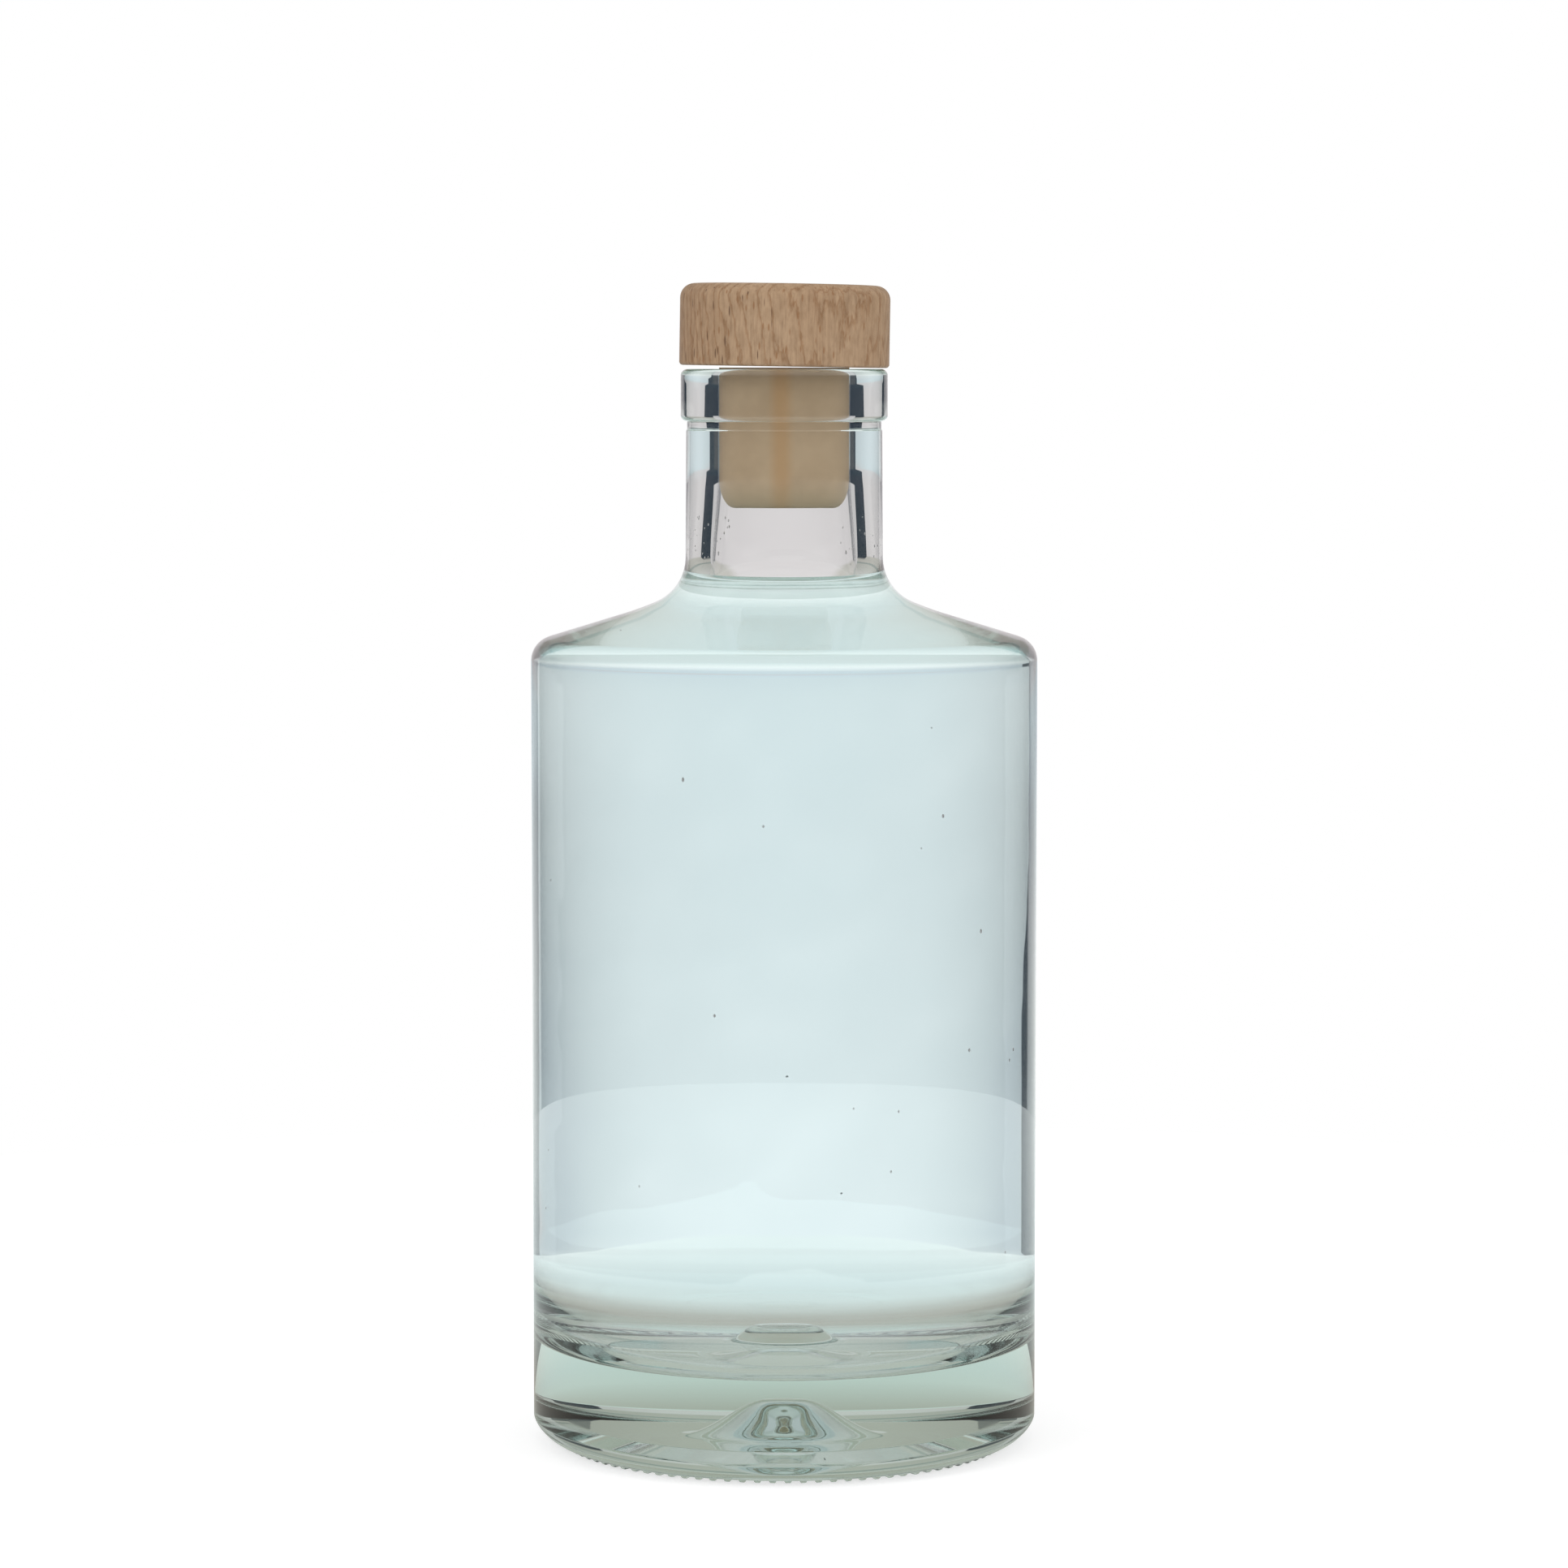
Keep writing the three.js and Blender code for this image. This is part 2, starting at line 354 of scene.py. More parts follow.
# %% [markdown]
# A modelling step acts on all that is selected, so each piece starts from an empty selection. Each
# ends in the same way too: its faces are shaded smooth, it takes the place of one piece of the
# imported model, and it gets its body. Helpers do this for all of them, so that no piece is left
# without a body.

# %% Helpers for modelling
def start_from_nothing_selected():
    if bpy.context.mode != "OBJECT":
        bpy.ops.object.mode_set(mode="OBJECT")
    bpy.ops.object.select_all(action="DESELECT")


def make_active(piece):
    start_from_nothing_selected()
    bpy.context.view_layer.objects.active = piece
    piece.select_set(True)


def finish_piece(piece, body, node):
    for polygon in piece.data.polygons:
        polygon.use_smooth = True
    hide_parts(node)
    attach(piece, body)
    print(piece.name, "has", len(piece.data.polygons), "faces")


print("modelling helpers ready")

# %% [markdown]
# The floor is a pale round table top. More light would make it white, but would burn out the wood.
# Instead it glows a little, which makes it as white as the room while it still takes the bottle's
# shadow. Rays bent by the glass see a glow with a painted shadow in it: darker close to the bottle,
# where the bottle's own base would keep the light off the table.

# %% Floor
FLOOR_RADIUS = 0.30
FLOOR_SIDES = 96
FLOOR_GLOW = 0.64
FLOOR_PAINT = (0.5, 0.5, 0.5, 1)

# colours of the table top seen through the glass, by distance from the bottle's axis: a painted
# shadow, darkest close to the bottle
TABLE_WITH_PAINTED_SHADOW = [
    (0.00, (0.50, 0.55, 0.50)),
    (0.03, (0.50, 0.55, 0.50)),
    (0.054, (0.50, 0.47, 0.42)),
    (0.108, (0.74, 0.81, 0.79)),
    (0.144, (0.76, 0.85, 0.85)),
    (0.222, (0.89, 0.97, 0.96)),
    (0.30, (0.98, 1.04, 1.03)),
]


def build_floor():
    start_from_nothing_selected()
    bpy.ops.mesh.primitive_circle_add(vertices=FLOOR_SIDES, radius=FLOOR_RADIUS, fill_type="NGON")
    floor = bpy.context.object
    floor.name = "floor"
    material = new_material("pale_floor")
    tree = material.node_tree
    glow = add_node(tree, "ShaderNodeEmission", Color=(1, 1, 1, 1), Strength=FLOOR_GLOW)
    matt = add_node(tree, "ShaderNodeBsdfDiffuse", Color=FLOOR_PAINT)
    both = tree.nodes.new("ShaderNodeAddShader")
    tree.links.new(glow.outputs[0], both.inputs[0])
    tree.links.new(matt.outputs[0], both.inputs[1])
    place = tree.nodes.new("ShaderNodeTexCoord").outputs["Object"]
    reach = tree.nodes.new("ShaderNodeVectorMath")
    reach.operation = "LENGTH"
    tree.links.new(place, reach.inputs[0])
    # rays bent by the glass see this glow, whose colour holds the painted shadow near the bottle
    bent_glow_painted_shadow = tree.nodes.new("ShaderNodeEmission")
    tree.links.new(colour_ramp(tree, reach.outputs["Value"], TABLE_WITH_PAINTED_SHADOW), bent_glow_painted_shadow.inputs["Color"])
    either = tree.nodes.new("ShaderNodeMixShader")
    tree.links.new(bent_rays(tree), either.inputs[0])
    tree.links.new(both.outputs[0], either.inputs[1])
    tree.links.new(bent_glow_painted_shadow.outputs[0], either.inputs[2])
    output = tree.nodes.new("ShaderNodeOutputMaterial")
    tree.links.new(either.outputs[0], output.inputs["Surface"])
    floor.data.materials.append(material)
    return floor


floor = build_floor()
print("floor radius", FLOOR_RADIUS)

# %% [markdown]
# A sun or a bare bulb would throw hard shadows on the wood. Two broad soft lamps, one on each side
# and in front, give it gentle shading instead. They are hidden from the glass, whose look comes
# from the studio alone.

# %% Lamps
LAMP_SIZE = 0.7
LAMP_TARGET = (0, 0, 0.1)

# name, place in metres and power in watts
LAMPS = [
    ("left_lamp", (-0.8, -0.7, 0.9), 4.0),
    ("right_lamp", (0.9, -0.6, 0.7), 3.0),
]


def soft_lamp(name, place, power):
    data = bpy.data.lights.new(name, "AREA")
    data.shape = "DISK"
    data.size = LAMP_SIZE
    data.energy = power
    lamp = bpy.data.objects.new(name, data)
    scene.collection.objects.link(lamp)
    lamp.location = place
    aim = Vector(LAMP_TARGET) - lamp.location
    lamp.rotation_euler = aim.to_track_quat("-Z", "Y").to_euler()
    lamp.visible_camera = False
    lamp.visible_transmission = False
    lamp.visible_glossy = False


for lamp in LAMPS:
    soft_lamp(*lamp)
print("lamps:", len(LAMPS))

# %% [markdown]
# A blown or turned piece is one outline spun round its axis. Its edges could be bevelled after the
# spin, but one bevel has one width. The outline is written as a few corners instead, each with its
# own rounding, as on a drawing, and arcs that touch both sides replace them. Long straight runs
# get extra points where the wall is to be made uneven.

# %% Rounded profiles
ARC_STEP = math.radians(7)
LEAST_STEPS = 3
ROOM_SHARE = 0.49


def rounded(corners):
    """Points along corners (radius, height, rounding), in millimetres, rounded by tangent arcs."""
    points = []
    for index, corner in enumerate(corners):
        here = Vector(corner[:2])
        rounding = corner[2] if len(corner) > 2 else 0
        if not rounding:
            points.append(here)
            continue
        back = Vector(corners[index - 1][:2]) - here
        ahead = Vector(corners[index + 1][:2]) - here
        room = ROOM_SHARE * min(back.length, ahead.length)
        half = back.angle(ahead) / 2
        radius = min(rounding, 2 * room * math.tan(half))
        reach = radius / math.tan(half)
        start = here + back.normalized() * reach
        middle = (back.normalized() + ahead.normalized()).normalized()
        centre = here + middle * (radius / math.sin(half))
        turn = math.pi - 2 * half
        if back.x * ahead.y - back.y * ahead.x > 0:
            turn = -turn
        steps = max(LEAST_STEPS, math.ceil(abs(turn) / ARC_STEP))
        for step in range(steps + 1):
            angle = turn * step / steps
            arm = start - centre
            points.append(centre + Vector((
                arm.x * math.cos(angle) - arm.y * math.sin(angle),
                arm.x * math.sin(angle) + arm.y * math.cos(angle),
            )))
    return points


def finely(points, longest):
    """The same outline with extra points, so that no step along it is longer than this."""
    fine = [points[0]]
    for before, after in zip(points, points[1:]):
        steps = math.ceil((after - before).length / longest)
        fine += [before.lerp(after, step / steps) for step in range(1, steps + 1)]
    return fine


print("an arc has a point every", round(math.degrees(ARC_STEP)), "degrees")

# %% Spinning a profile
MERGE_WITHIN = 2e-6


def spun_piece(name, points, turns):
    """Draws a profile by extruding one vertex from point to point, and spins it round the axis."""
    start_from_nothing_selected()
    first = points[0]
    bpy.ops.mesh.primitive_plane_add(size=MM, location=(0, 0, 0))
    piece = bpy.context.object
    piece.name = name
    piece.data.name = name
    bpy.ops.object.mode_set(mode="EDIT")
    bpy.ops.mesh.merge(type="CENTER")
    bpy.ops.transform.translate(value=(first.x * MM, 0, first.y * MM))
    for before, after in zip(points, points[1:]):
        step = (after - before) * MM
        bpy.ops.mesh.extrude_vertices_move(TRANSFORM_OT_translate={"value": (step.x, 0, step.y)})
    bpy.ops.mesh.select_all(action="SELECT")
    bpy.ops.mesh.spin(steps=turns, angle=2 * math.pi, center=(0, 0, 0), axis=(0, 0, 1))
    bpy.ops.mesh.select_all(action="SELECT")
    bpy.ops.mesh.remove_doubles(threshold=MERGE_WITHIN)
    bpy.ops.mesh.normals_make_consistent(inside=False)
    bpy.ops.object.mode_set(mode="OBJECT")
    return piece


print("helper: spun_piece")

# %% [markdown]
# The bottle is blown in a mould. The mould gives the outside its sloped shoulder, its finish ring
# and its narrow heel, and the air inside leaves a heavy base with a soft round floor. A push-up
# under the base has a low flat-topped mound, and the floor above it has one of its own. The
# outside could be given one thickness all over, but a blown wall is not so even, and the inside has
# an outline of its own. It can be drawn a little smaller or larger, for the liquid.

# %% Sizes of the glass, in millimetres
WALL = 2.4
HEEL_HEIGHT = 3.2
HEEL_WIDTH = 3.5
HEEL_EXPONENT = 1.5
SHOULDER_START = 112.8
SHOULDER_SLOPE = math.tan(math.radians(17.1))
SHOULDER_THICKNESS = 1.9
UPPER_SHOULDER_RADIUS = 20.5
UPPER_SHOULDER_SLOPE = math.tan(math.radians(22.5))
UPPER_SHOULDER_BLEND = 46
NECK_FOOT = 13.85
NECK_TOP = 13.72
BORE = 9.25
STRAIGHT_BORE = 15.5
BORE_FOOT = 10.5
FINISH_RADIUS = 14.47
FINISH_HEIGHT = 7.1
STEP_DEPTH = 0.13
STEP_HEIGHT = 1.3
FLOOR_HEIGHT = 13.5
FLOOR_CORNER = 12
FLOOR_DOME = 0.4
FLOOR_BUMP = 3.3
FLOOR_BUMP_TOP = 3.2
FLOOR_BUMP_FOOT = 6
PUSH_UP_TOP = 1.5
PUSH_UP_FOOT = 9.5
PUSH_UP_RISE = 5.1
KNURL = 0.35
BEARING_WIDTH = 2.6
RECESS_FLANK = 9.5
RECESS_HEIGHT = 3.4
RECESS_RISE = 0.2
TURNS = 192
WAVE_STEP = 2.5

# how round each corner of the outlines is
RECESS_ROUNDING = 1.2
BEARING_ROUNDING = 0.6
SHOULDER_ROUNDING = 3.4
NECK_ROUNDING = 6.9
STEP_ROUNDING = 0.1
RING_ROUNDING = 0.8
RIM_ROUNDING = 0.9
LIP_ROUNDING = 0.8
INNER_SHOULDER_ROUNDING = 2.5
INNER_NECK_ROUNDING = 9
BORE_ROUNDING = 40
print("wall", WALL, "mm, floor", FLOOR_HEIGHT, "mm, bore", 2 * BORE, "mm")

# %% Curves of the glass
def bell(radius, edge, rise):
    return rise * (1 + math.cos(math.pi * radius / edge)) / 2 if radius < edge else 0


def mound(radius, top, foot, rise):
    share = min(1, max(0, (radius - top) / (foot - top)))
    return rise * (1 - share * share * (3 - 2 * share))


def domed(edge, height, rise, top, foot, bump, steps=28):
    radii = [edge * k / steps for k in range(steps + 1)]
    return [(r, height + bell(r, edge, rise) + mound(r, top, foot, bump)) for r in radii]


def shoulder(radius):
    upper = SHOULDER_START + (BODY - UPPER_SHOULDER_RADIUS) * SHOULDER_SLOPE
    if radius > UPPER_SHOULDER_RADIUS:
        return SHOULDER_START + (BODY - radius) * SHOULDER_SLOPE
    return upper + (UPPER_SHOULDER_RADIUS - radius) * UPPER_SHOULDER_SLOPE


def heel(steps=12):
    points = []
    for k in range(steps + 1):
        angle = math.pi / 2 * k / steps
        out = math.sin(angle) ** (2 / HEEL_EXPONENT)
        down = max(0.0, math.cos(angle)) ** (2 / HEEL_EXPONENT) if k < steps else 0
        points.append((BODY - HEEL_WIDTH * (1 - out), KNURL + HEEL_HEIGHT * (1 - down)))
    return points


print("points on the heel:", len(heel()))

# %% Outlines of the glass
def inside(gap):
    wall = BODY - WALL - gap
    drop = (SHOULDER_THICKNESS + gap) * math.hypot(1, SHOULDER_SLOPE)
    floor_edge = BODY - WALL - FLOOR_CORNER
    bump = (FLOOR_BUMP_TOP, FLOOR_BUMP_FOOT, FLOOR_BUMP)
    return [
        *domed(floor_edge, FLOOR_HEIGHT + gap, FLOOR_DOME, *bump),
        (wall, FLOOR_HEIGHT + gap, FLOOR_CORNER - gap),
        (wall, shoulder(wall) - drop, INNER_SHOULDER_ROUNDING - gap),
        (UPPER_SHOULDER_RADIUS, shoulder(UPPER_SHOULDER_RADIUS) - drop, UPPER_SHOULDER_BLEND),
        (BORE_FOOT - gap, shoulder(BORE_FOOT) - drop, INNER_NECK_ROUNDING + gap),
        (BORE - gap, RIM - STRAIGHT_BORE, BORE_ROUNDING),
    ]


def outside():
    bearing = BODY - HEEL_WIDTH
    recess = bearing - BEARING_WIDTH - RECESS_FLANK
    ring = RIM - FINISH_HEIGHT
    step = NECK_TOP - STEP_DEPTH
    push_up = (PUSH_UP_TOP, PUSH_UP_FOOT, PUSH_UP_RISE)
    return [
        *domed(recess - RECESS_ROUNDING, RECESS_HEIGHT, RECESS_RISE, *push_up),
        (recess, RECESS_HEIGHT, RECESS_ROUNDING),
        (bearing - BEARING_WIDTH, KNURL, BEARING_ROUNDING),
        *heel(),
        (BODY, shoulder(BODY), SHOULDER_ROUNDING),
        (UPPER_SHOULDER_RADIUS, shoulder(UPPER_SHOULDER_RADIUS), UPPER_SHOULDER_BLEND),
        (NECK_FOOT, shoulder(NECK_FOOT), NECK_ROUNDING),
        (NECK_TOP, ring - STEP_HEIGHT - STEP_DEPTH, STEP_ROUNDING),
        (step, ring - STEP_HEIGHT, STEP_ROUNDING),
        (step, ring - STEP_DEPTH, STEP_ROUNDING),
        (FINISH_RADIUS, ring, RING_ROUNDING),
        (FINISH_RADIUS, RIM, RIM_ROUNDING),
    ]


print("outside has", len(rounded([*outside(), (BORE, RIM)])), "points")

# %% [markdown]
# Clear glass bends light by its index and takes a little red out of it, which shows green where
# the glass is thick. A green surface would tint thin and thick glass alike. The colour is made in
# the volume for that reason: thin walls stay clear, and the heavy base turns green by itself. The
# same shader, with its own numbers, serves the liquid.

# %% Clear materials
GLASS = {"ior": 1.52, "shine": 0.28, "tint": (0.25, 0.52, 0.38, 1), "density": 9}
LIQUID = {"ior": 1.333, "shine": 0.05, "tint": (0.45, 0.90, 0.95, 1), "density": 3}


def clear_material(name, ior, shine, tint, density):
    material = new_material(name)
    tree = material.node_tree
    shader = add_node(tree, "ShaderNodeBsdfPrincipled", Base_Color=(1, 1, 1, 1), Roughness=0)
    shader.inputs["IOR"].default_value = ior
    shader.inputs["Transmission Weight"].default_value = 1
    shader.inputs["Specular IOR Level"].default_value = shine
    absorbed = add_node(tree, "ShaderNodeVolumeAbsorption", Color=tint, Density=density)
    output = tree.nodes.new("ShaderNodeOutputMaterial")
    tree.links.new(shader.outputs[0], output.inputs["Surface"])
    tree.links.new(absorbed.outputs[0], output.inputs["Volume"])
    return material


clear_glass = clear_material("clear_glass", **GLASS)
liquid_surface = clear_material("liquid_surface", **LIQUID)
print("clear materials:", clear_glass.name, liquid_surface.name)

# %% [markdown]
# The bottle stands on a ring of small bumps, which the mould leaves so that hot glass does not
# slide. A pattern in the finish could suggest them, but each one bends the light like a small lens,
# so they are modelled. Every second face of the flat ring is inset and pulled down, twice, into a
# low round bump.

# %% Knurl
# how wide each inset is and how far it is pulled down, in millimetres
KNURL_STEPS = ((0.10, 0.22), (0.14, 0.13))

# the flat ring's faces: how level in metres, how far in from the heel and how large in millimetres
LEVEL_WITHIN = 1e-6
RING_REACH = 2
LEAST_AREA = 0.8


def raise_knurl(glass):
    bearing = (BODY - HEEL_WIDTH) * MM
    mesh = glass.data
    make_active(glass)
    for item in (*mesh.vertices, *mesh.edges, *mesh.polygons):
        item.select = False
    picked = 0
    for polygon in mesh.polygons:
        centre = polygon.center
        radius = math.hypot(centre.x, centre.y)
        level = abs(centre.z - KNURL * MM) < LEVEL_WITHIN
        on_ring = bearing - RING_REACH * MM < radius < bearing
        column = round(math.atan2(centre.y, centre.x) / (2 * math.pi) * TURNS - 0.5)
        if level and on_ring and column % 2 == 0 and polygon.area > LEAST_AREA * MM * MM:
            polygon.select = True
            picked += 1
    bpy.context.tool_settings.mesh_select_mode = (False, False, True)
    bpy.ops.object.mode_set(mode="EDIT")
    for width, drop in KNURL_STEPS:
        bpy.ops.mesh.inset(thickness=width * MM, use_individual=True)
        bpy.ops.transform.translate(value=(0, 0, -drop * MM))
    bpy.ops.object.mode_set(mode="OBJECT")
    bpy.context.tool_settings.mesh_select_mode = (True, False, False)
    print("knurls raised:", picked)


print("knurls to raise:", TURNS // 2)

# %% [markdown]
# Air and not a mould shapes the inside of a blown bottle, so its inner wall is never quite true. A
# bump in the finish would only tilt the light, so a soft cloud pattern moves the wall itself in and
# out, by less than a tenth of a millimetre. The liquid gets the same pattern with the opposite
# sign, since its faces look the other way.

# %% Uneven wall
WAVE_DEPTH = 0.09
WAVE_LENGTH = 11
WAVE_LOW = (22, 34)
WAVE_HIGH = (127, 131)

# the inner wall lies this far inside the body and under the shoulder, or within the neck's radius
INSIDE_BODY = 1.2
UNDER_SHOULDER = 1
NECK_REACH = 11.7

waves = bpy.data.textures.new("blown_waves", "CLOUDS")
waves.noise_scale = WAVE_LENGTH * MM
waves.noise_depth = 1


def ease(value, low, high):
    share = min(1, max(0, (value - low) / (high - low)))
    return share * share * (3 - 2 * share)


def make_uneven(piece, sign):
    group = piece.vertex_groups.new(name="uneven")
    for vertex in piece.data.vertices:
        radius = math.hypot(vertex.co.x, vertex.co.y) / MM
        height = vertex.co.z / MM
        within = radius < NECK_REACH or height < shoulder(radius) - UNDER_SHOULDER
        if radius < BODY - INSIDE_BODY and within:
            share = ease(height, *WAVE_LOW) * (1 - ease(height, *WAVE_HIGH))
            group.add([vertex.index], share, "REPLACE")
    make_active(piece)
    modifier = piece.modifiers.new("uneven", "DISPLACE")
    modifier.texture = waves
    modifier.texture_coords = "LOCAL"
    modifier.vertex_group = group.name
    modifier.strength = sign * WAVE_DEPTH * MM
    bpy.ops.object.modifier_apply(modifier=modifier.name)
    print(piece.name, "has an uneven inner wall")


print("wave length", WAVE_LENGTH, "mm")

# %% [markdown]
# Small bubbles, called seeds, stay in the glass when it is melted and are drawn out a little as it
# is blown. A pattern in the finish would paint them on the surface, and they sit inside the wall,
# so they are modelled. Each is a closed hollow: a small ball whose faces look inwards, joined to
# the glass.

# %% Seeds
SEED_COUNT = 40
SEED_DRAW = 11
SEED_MARGIN = 0.5
SEED_HEIGHTS = (28, 106)
SEED_SIZES = (0.09, 0.11, 0.13, 0.17)
SEED_STRETCH = (1.1, 1.9)


def wall_place(chance):
    """A place inside the glass wall, in millimetres."""
    turn = chance.uniform(0, 2 * math.pi)
    radius = BODY - chance.uniform(SEED_MARGIN, WALL - SEED_MARGIN)
    return radius * math.cos(turn), radius * math.sin(turn), chance.uniform(*SEED_HEIGHTS)


def join_to(piece, added):
    make_active(piece)
    added.select_set(True)
    bpy.ops.object.join()


def add_seeds(glass):
    chance = random.Random(SEED_DRAW)
    start_from_nothing_selected()
    for count in range(SEED_COUNT):
        place = Vector(wall_place(chance)) * MM
        size = chance.choice(SEED_SIZES) * MM
        bpy.ops.mesh.primitive_ico_sphere_add(subdivisions=2, radius=size, location=place)
        if count == 0:
            seeds = bpy.context.object
            seeds.name = "seeds"
            bpy.ops.object.transform_apply(location=True, rotation=False, scale=False)
            bpy.ops.object.mode_set(mode="EDIT")
        stretch = (1, 1, chance.uniform(*SEED_STRETCH))
        bpy.ops.transform.resize(value=stretch, center_override=place)
    bpy.ops.mesh.select_all(action="SELECT")
    bpy.ops.mesh.normals_make_consistent(inside=True)
    bpy.ops.object.mode_set(mode="OBJECT")
    join_to(glass, seeds)
    print("seeds:", SEED_COUNT)


print("seeds to make:", SEED_COUNT)

# %% [markdown]
# The hollow could be cut out of a solid bottle, but such a cut leaves uneven faces, which show in
# clear glass. Instead the whole outline, outside and inside, closes on the axis at both ends, so
# that one spin makes a solid of glass with a hollow in it. The knurl, the uneven wall and the seeds
# follow.

# %% Bottle
def build_glass():
    outer = rounded([*outside(), (BORE, RIM, LIP_ROUNDING), (BORE, RIM - STRAIGHT_BORE)])[:-1]
    inner = finely(rounded([*inside(0), (BORE, RIM - LIP_ROUNDING)]), WAVE_STEP)
    glass = spun_piece("bottle_glass", [*outer, *reversed(inner)], TURNS)
    glass.data.materials.append(clear_glass)
    raise_knurl(glass)
    make_uneven(glass, 1)
    add_seeds(glass)
    finish_piece(glass, "bottle", "glass_bottle")
    return glass


glass = build_glass()

# %% [markdown]
# The liquid fills the bottle to the foot of the neck. A flat top would look cut off: the real
# surface climbs the glass by about a millimetre all round, and that curve draws the dark crescent
# in the neck. Sides that only touch the glass would share their place with it and render badly, so
# they reach a hair's breadth into the glass, and no film of air is left between the two.

# %% Liquid
MENISCUS_RISE = 1.2
MENISCUS_REACH = 0.9
SURFACE_STEPS = (0.1, 0.22, 0.36, 0.52, 0.7, 0.92, 1.2, 1.55, 2.0, 2.6, 3.4, 4.5, 6.0)
OVERLAP = 0.05


def meniscus(out):
    return FILL + MENISCUS_RISE * math.exp(-out / MENISCUS_REACH)


def build_liquid():
    points = finely(rounded([*inside(-OVERLAP), (BORE + OVERLAP, RIM)]), WAVE_STEP)
    top = FILL + MENISCUS_RISE
    above = next(i for i, point in enumerate(points) if point.y > top)
    low, high = points[above - 1], points[above]
    edge = low.lerp(high, (top - low.y) / (high.y - low.y))
    surface = [Vector((edge.x - out, meniscus(out))) for out in SURFACE_STEPS]
    outline = [*points[:above], edge, *surface, Vector((0, FILL))]
    liquid = spun_piece("clear_liquid", outline, TURNS)
    liquid.data.materials.append(liquid_surface)
    make_uneven(liquid, -1)
    return liquid


liquid = build_liquid()

# %% [markdown]
# The liquid has splashed into the neck and left small drops on its wall, here at its two sides.
# They could be scattered by a particle system, but a loop with a fixed draw gives the same drops
# each time. Each is a ball pressed flat against the glass and drawn down a little. They are joined
# to the liquid, whose finish they share.

# %% Drops
DROP_COUNT = 34
DROP_DRAW = 5
DROP_SPREAD = 0.5
DROP_SIZES = (0.08, 0.22)
DROP_FLATNESS = 0.5
DROP_STRETCH = (1, 1.5)
DROP_FACES = {"segments": 12, "ring_count": 8}

# how far the drops stay from the liquid below them and from the plug above them
ABOVE_LIQUID = 3
BELOW_PLUG = 1.2


def bore_radius(height):
    """The radius of the neck's inner wall at a height, in millimetres."""
    points = rounded([*inside(0), (BORE, RIM)])
    above = next(i for i, point in enumerate(points) if point.y > height)
    low, high = points[above - 1], points[above]
    return low.x + (high.x - low.x) * (height - low.y) / (high.y - low.y)


def add_drops(liquid):
    chance = random.Random(DROP_DRAW)
    start_from_nothing_selected()

    # a ball that is deleted again leaves an empty mesh, which the loop fills with drops
    bpy.ops.mesh.primitive_uv_sphere_add(**DROP_FACES, radius=MM)
    drops = bpy.context.object
    drops.name = "drops"
    bpy.ops.object.mode_set(mode="EDIT")
    bpy.ops.mesh.select_all(action="SELECT")
    bpy.ops.mesh.delete(type="VERT")
    for _ in range(DROP_COUNT):
        height = chance.uniform(FILL + ABOVE_LIQUID, PLUG_FOOT - BELOW_PLUG)
        size = chance.uniform(*DROP_SIZES)
        flat = DROP_FLATNESS * size
        centre = ((bore_radius(height) + OVERLAP - flat) * MM, 0, height * MM)
        bpy.ops.mesh.primitive_uv_sphere_add(**DROP_FACES, radius=size * MM, location=centre)
        shape = (DROP_FLATNESS, 1, chance.uniform(*DROP_STRETCH))
        bpy.ops.transform.resize(value=shape, center_override=centre)
        turn = chance.choice((0, math.pi)) + chance.uniform(-DROP_SPREAD, DROP_SPREAD)
        bpy.ops.transform.rotate(value=turn, orient_axis="Z", center_override=(0, 0, 0))
    bpy.ops.mesh.select_all(action="SELECT")
    bpy.ops.mesh.normals_make_consistent(inside=False)
    bpy.ops.object.mode_set(mode="OBJECT")
    join_to(liquid, drops)
    print("drops:", DROP_COUNT)


add_drops(liquid)
finish_piece(liquid, "bottle", "liquid")

# %% [markdown]
# The head is turned from a stick of beech whose grain runs up and down. The growth rings of the
# trunk cross it: they make close upright lines on two sides and tall arches between them. Short
# dark dashes, the wood's rays, show where the rings are cut across. A picture of wood could be
# wrapped round the head, but its lines would not meet those on top. So all of it is worked out
# from the place in the solid wood, and the end grain on top agrees with the sides.

# %% Patterns for wood
RELIEF = 0.0001


def stretched(tree, place, x, y, z):
    node = tree.nodes.new("ShaderNodeMapping")
    node.inputs["Scale"].default_value = (x, y, z)
    tree.links.new(place, node.inputs["Vector"])
    return node.outputs[0]


def noise(tree, vector, detail=2, roughness=0.5, scale=1.0):
    node = add_node(tree, "ShaderNodeTexNoise", Scale=scale, Detail=detail, Roughness=roughness)
    tree.links.new(vector, node.inputs["Vector"])
    return node.outputs["Fac"]


def dashes(tree, vector, wide, narrow):
    cells = add_node(tree, "ShaderNodeTexVoronoi", Scale=1.0, Randomness=1.0)
    tree.links.new(vector, cells.inputs["Vector"])
    return smooth_step(tree, cells.outputs["Distance"], wide, narrow)


def matt_surface(tree, colour, relief, strength, **sockets):
    """Joins a colour and a fine relief to a matt shader, and that to the material's output."""
    shader = add_node(tree, "ShaderNodeBsdfPrincipled", **sockets)
    tree.links.new(colour, shader.inputs["Base Color"])
    bump = add_node(tree, "ShaderNodeBump", Strength=strength, Distance=RELIEF)
    tree.links.new(relief, bump.inputs["Height"])
    tree.links.new(bump.outputs[0], shader.inputs["Normal"])
    output = tree.nodes.new("ShaderNodeOutputMaterial")
    tree.links.new(shader.outputs[0], output.inputs["Surface"])


print("helpers: stretched, noise, dashes, matt_surface")

# %% Growth rings
TRUNK = (-0.0327, 0.0503)
RING_WIDTH = 0.0013
RING_LEAN = 0.11
RING_WOBBLE = 2.2 * RING_WIDTH
WOBBLE_GRAIN = (420, 420, 110)


